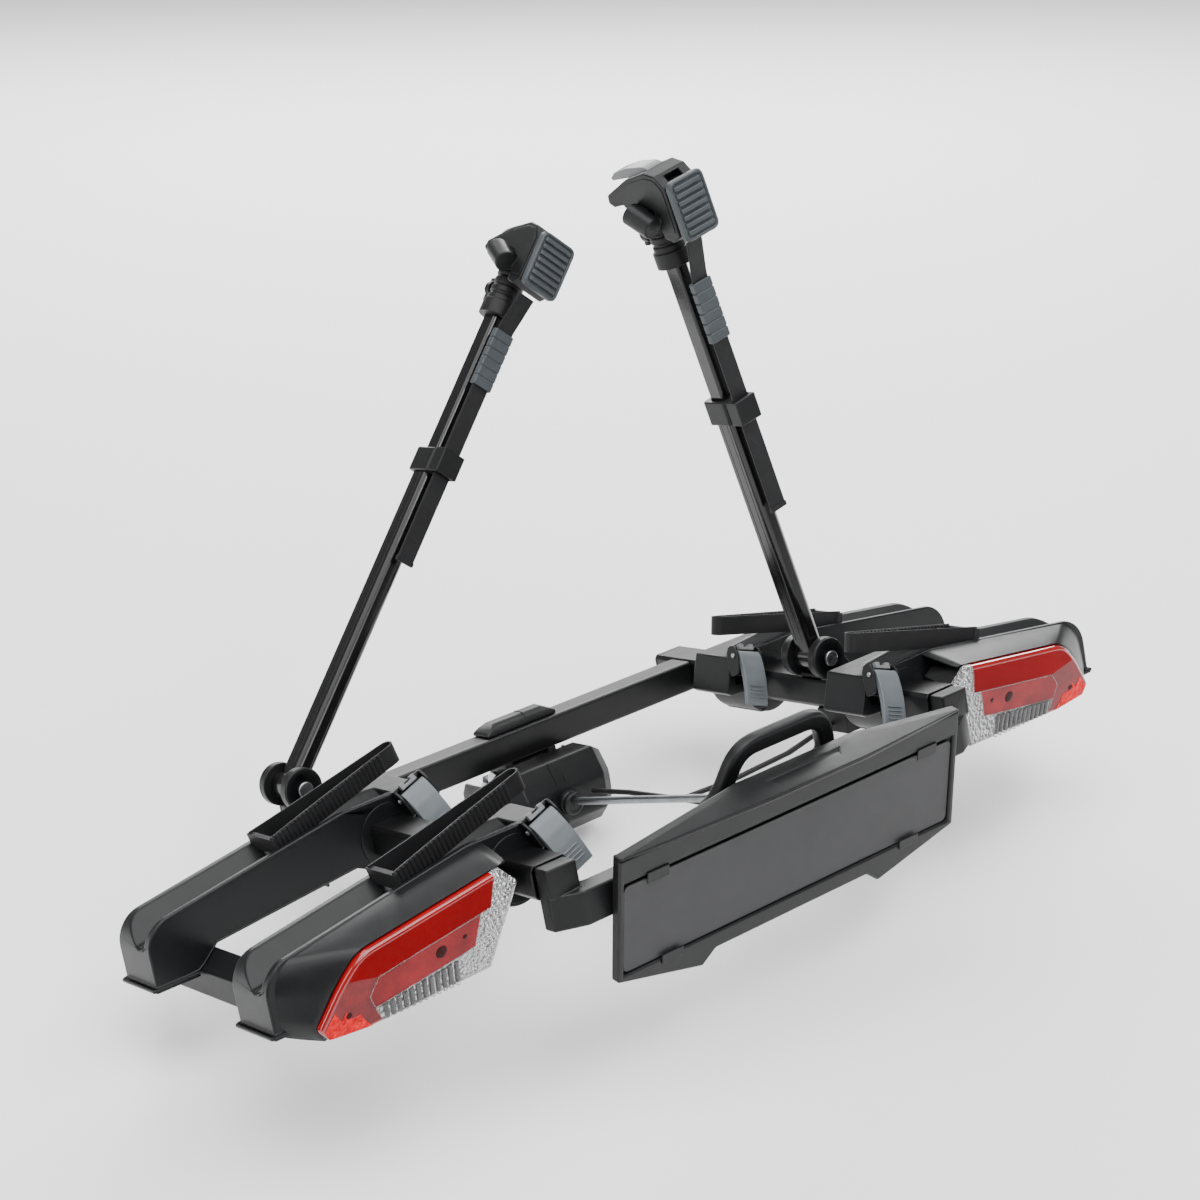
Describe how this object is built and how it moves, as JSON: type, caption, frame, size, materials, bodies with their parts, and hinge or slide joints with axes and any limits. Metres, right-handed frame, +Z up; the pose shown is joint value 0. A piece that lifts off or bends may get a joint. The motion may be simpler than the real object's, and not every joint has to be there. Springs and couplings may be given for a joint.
{
  "type": "hitch mounted bike rack",
  "caption": "Platform bike carrier for a tow ball, with folding lamp wings, ratchet wheel straps, telescopic frame arms and a number plate holder.",
  "frame": {"origin": "middle of the tow ball that the coupler socket sits on", "axes": "+Z up, +Y towards the car, +X to the right seen from behind"},
  "size_m": [1.306, 0.7873, 0.8934],
  "materials": {
    "coupler_steel": "satin",
    "zinc_steel": "satin",
    "frame_paint": "satin powder coat",
    "arm_gloss": "gloss",
    "rod_steel": "satin",
    "plate_panel": "matte",
    "lamp_red": "clear red lens",
    "lamp_clear": "clear ribbed lens",
    "strap_black": "toothed polymer",
    "strap_webbing": "ribbed band",
    "ratchet_grey": "satin",
    "pad_slate": "ribbed soft rubber",
    "lever_grey": "satin",
    "lock_chrome": "polished",
    "cable_black": "matte",
    "grip_rubber": "satin",
    "tray_plastic": "fine grain",
    "moulded_black": "fine grain"
  },
  "bodies": {
    "coupler": {"coupler_body": "coupler_steel", "hinge_pins": "zinc_steel"},
    "jaw": {"clamp_jaw": "zinc_steel"},
    "deck": {"coupling_cover": "moulded_black", "hinge_brackets": "coupler_steel", "beam_cap": "moulded_black", "front_beam": "frame_paint", "side_tubes": "frame_paint", "tube_caps": "moulded_black", "rear_beam": "moulded_black", "frame_fasteners": "zinc_steel", "pivot_bushes": "moulded_black", "plate_frame": "moulded_black", "plate_hood": "moulded_black", "number_plate": "plate_panel", "plate_clips": "moulded_black", "wiring_harness": "cable_black", "arm_brackets": "moulded_black"},
    "release": {"release_rod": "rod_steel", "release_handle": "moulded_black"},
    "wing_left": {"tray_front_left": "tray_plastic", "tray_rear_left": "tray_plastic", "tip_bar_left": "moulded_black", "lamp_housing_left": "moulded_black", "lamp_red_left": "lamp_red", "lamp_clear_left": "lamp_clear", "wheel_straps_left": "strap_black", "buckle_frames_left": "moulded_black"},
    "ratchet_rear_left": {"ratchet_rear_left": "ratchet_grey"},
    "ratchet_front_left": {"ratchet_front_left": "ratchet_grey"},
    "wing_right": {"tray_front_right": "tray_plastic", "tray_rear_right": "tray_plastic", "tip_bar_right": "moulded_black", "lamp_housing_right": "moulded_black", "lamp_red_right": "lamp_red", "lamp_clear_right": "lamp_clear", "wheel_straps_right": "strap_black", "buckle_frames_right": "moulded_black"},
    "ratchet_rear_right": {"ratchet_rear_right": "ratchet_grey"},
    "ratchet_front_right": {"ratchet_front_right": "ratchet_grey"},
    "arm_left": {"arm_tube_left": "arm_gloss", "strap_keeper_left": "moulded_black"},
    "arm_upper_left": {"arm_inner_left": "arm_gloss", "arm_grip_left": "grip_rubber", "frame_strap_left": "strap_webbing"},
    "knob_left": {"arm_knob_left": "grip_rubber"},
    "head_left": {"head_shell_left": "moulded_black", "head_pad_left": "pad_slate"},
    "lever_left": {"head_lever_left": "lever_grey"},
    "lock_left": {"head_lock_left": "lock_chrome"},
    "arm_right": {"arm_tube_right": "arm_gloss", "strap_keeper_right": "moulded_black"},
    "arm_upper_right": {"arm_inner_right": "arm_gloss", "arm_grip_right": "grip_rubber", "frame_strap_right": "strap_webbing"},
    "knob_right": {"arm_knob_right": "grip_rubber"},
    "head_right": {"head_shell_right": "moulded_black", "head_pad_right": "pad_slate"},
    "lever_right": {"head_lever_right": "lever_grey"},
    "lock_right": {"head_lock_right": "lock_chrome"}
  },
  "joints": [
    {"name": "deck_tilt", "type": "hinge", "parent": "coupler", "child": "deck", "pos_m": [0, 0, 0.062], "axis": [1, 0, 0], "range_deg": [0, 40]},
    {"name": "jaw_open", "type": "hinge", "parent": "coupler", "child": "jaw", "pos_m": [0, 0.05, 0.022], "axis": [1, 0, 0], "range_deg": [0, 20]},
    {"name": "release_pull", "type": "slide", "parent": "deck", "child": "release", "axis": [0, -0.9057, 0.4239], "range_m": [0, 0.012], "stiffness_N_per_m": 400},
    {"name": "wing_left_fold", "type": "hinge", "parent": "deck", "child": "wing_left", "pos_m": [-0.311, -0.22846, 0.17224], "axis": [0, 0.9613, -0.2756], "range_deg": [0, 170]},
    {"name": "ratchet_rear_left_open", "type": "hinge", "parent": "wing_left", "child": "ratchet_rear_left", "pos_m": [-0.271, -0.37398, 0.25974], "axis": [0.9397, 0.0943, 0.3288], "range_deg": [-60, 0]},
    {"name": "ratchet_front_left_open", "type": "hinge", "parent": "wing_left", "child": "ratchet_front_left", "pos_m": [-0.271, -0.12886, 0.18946], "axis": [0.9397, 0.0943, 0.3288], "range_deg": [-60, 0]},
    {"name": "wing_right_fold", "type": "hinge", "parent": "deck", "child": "wing_right", "pos_m": [0.311, -0.22846, 0.17224], "axis": [0, -0.9613, 0.2756], "range_deg": [0, 95]},
    {"name": "ratchet_rear_right_open", "type": "hinge", "parent": "wing_right", "child": "ratchet_rear_right", "pos_m": [0.271, -0.37398, 0.25974], "axis": [0.9397, -0.0943, -0.3288], "range_deg": [-60, 0]},
    {"name": "ratchet_front_right_open", "type": "hinge", "parent": "wing_right", "child": "ratchet_front_right", "pos_m": [0.271, -0.12886, 0.18946], "axis": [0.9397, -0.0943, -0.3288], "range_deg": [-60, 0]},
    {"name": "arm_left_swing", "type": "hinge", "parent": "deck", "child": "arm_left", "pos_m": [-0.338, 0.03662, 0.14617], "axis": [0, -0.9613, 0.2756], "range_deg": [-44.5, 41.5]},
    {"name": "arm_left_slide", "type": "slide", "parent": "arm_left", "child": "arm_upper_left", "axis": [0.6626, 0.2064, 0.7199], "range_m": [-0.07, 0.06]},
    {"name": "knob_left_turn", "type": "hinge", "parent": "arm_upper_left", "child": "knob_left", "pos_m": [0.12385, 0.20646, 0.64053], "axis": [0, 0.9613, -0.2756], "continuous": true},
    {"name": "head_left_swivel", "type": "hinge", "parent": "arm_upper_left", "child": "head_left", "pos_m": [0.15433, 0.19, 0.68108], "axis": [0.6626, 0.2064, 0.7199], "range_deg": [0, 45]},
    {"name": "lever_left_open", "type": "hinge", "parent": "head_left", "child": "lever_left", "pos_m": [0.17686, 0.1778, 0.71108], "axis": [0.749, -0.1826, -0.637], "range_deg": [0, 75]},
    {"name": "lock_left_turn", "type": "hinge", "parent": "head_left", "child": "lock_left", "pos_m": [0.11889, 0.1897, 0.69759], "axis": [0.3609, 0.9186, 0.1609], "range_deg": [0, 90]},
    {"name": "arm_right_swing", "type": "hinge", "parent": "deck", "child": "arm_right", "pos_m": [0.294, -0.22869, 0.22224], "axis": [0, 0.9613, -0.2756], "range_deg": [-74, 12]},
    {"name": "arm_right_slide", "type": "slide", "parent": "arm_right", "child": "arm_upper_right", "axis": [-0.2079, 0.2696, 0.9403], "range_m": [-0.075, 0.06]},
    {"name": "knob_right_turn", "type": "hinge", "parent": "arm_upper_right", "child": "knob_right", "pos_m": [0.17133, -0.04366, 0.76955], "axis": [0, 0.9613, -0.2756], "continuous": true},
    {"name": "head_right_swivel", "type": "hinge", "parent": "arm_upper_right", "child": "head_right", "pos_m": [0.16177, -0.05722, 0.82025], "axis": [-0.2079, 0.2696, 0.9403], "range_deg": [0, 45]},
    {"name": "lever_right_open", "type": "hinge", "parent": "head_right", "child": "lever_right", "pos_m": [0.1547, -0.06727, 0.85773], "axis": [0.9781, 0.0573, 0.1999], "range_deg": [0, 75]},
    {"name": "lock_right_turn", "type": "hinge", "parent": "head_right", "child": "lock_right", "pos_m": [0.128, -0.06713, 0.80322], "axis": [-0.1132, 0.953, 0.2809], "range_deg": [0, 90]}
  ]
}
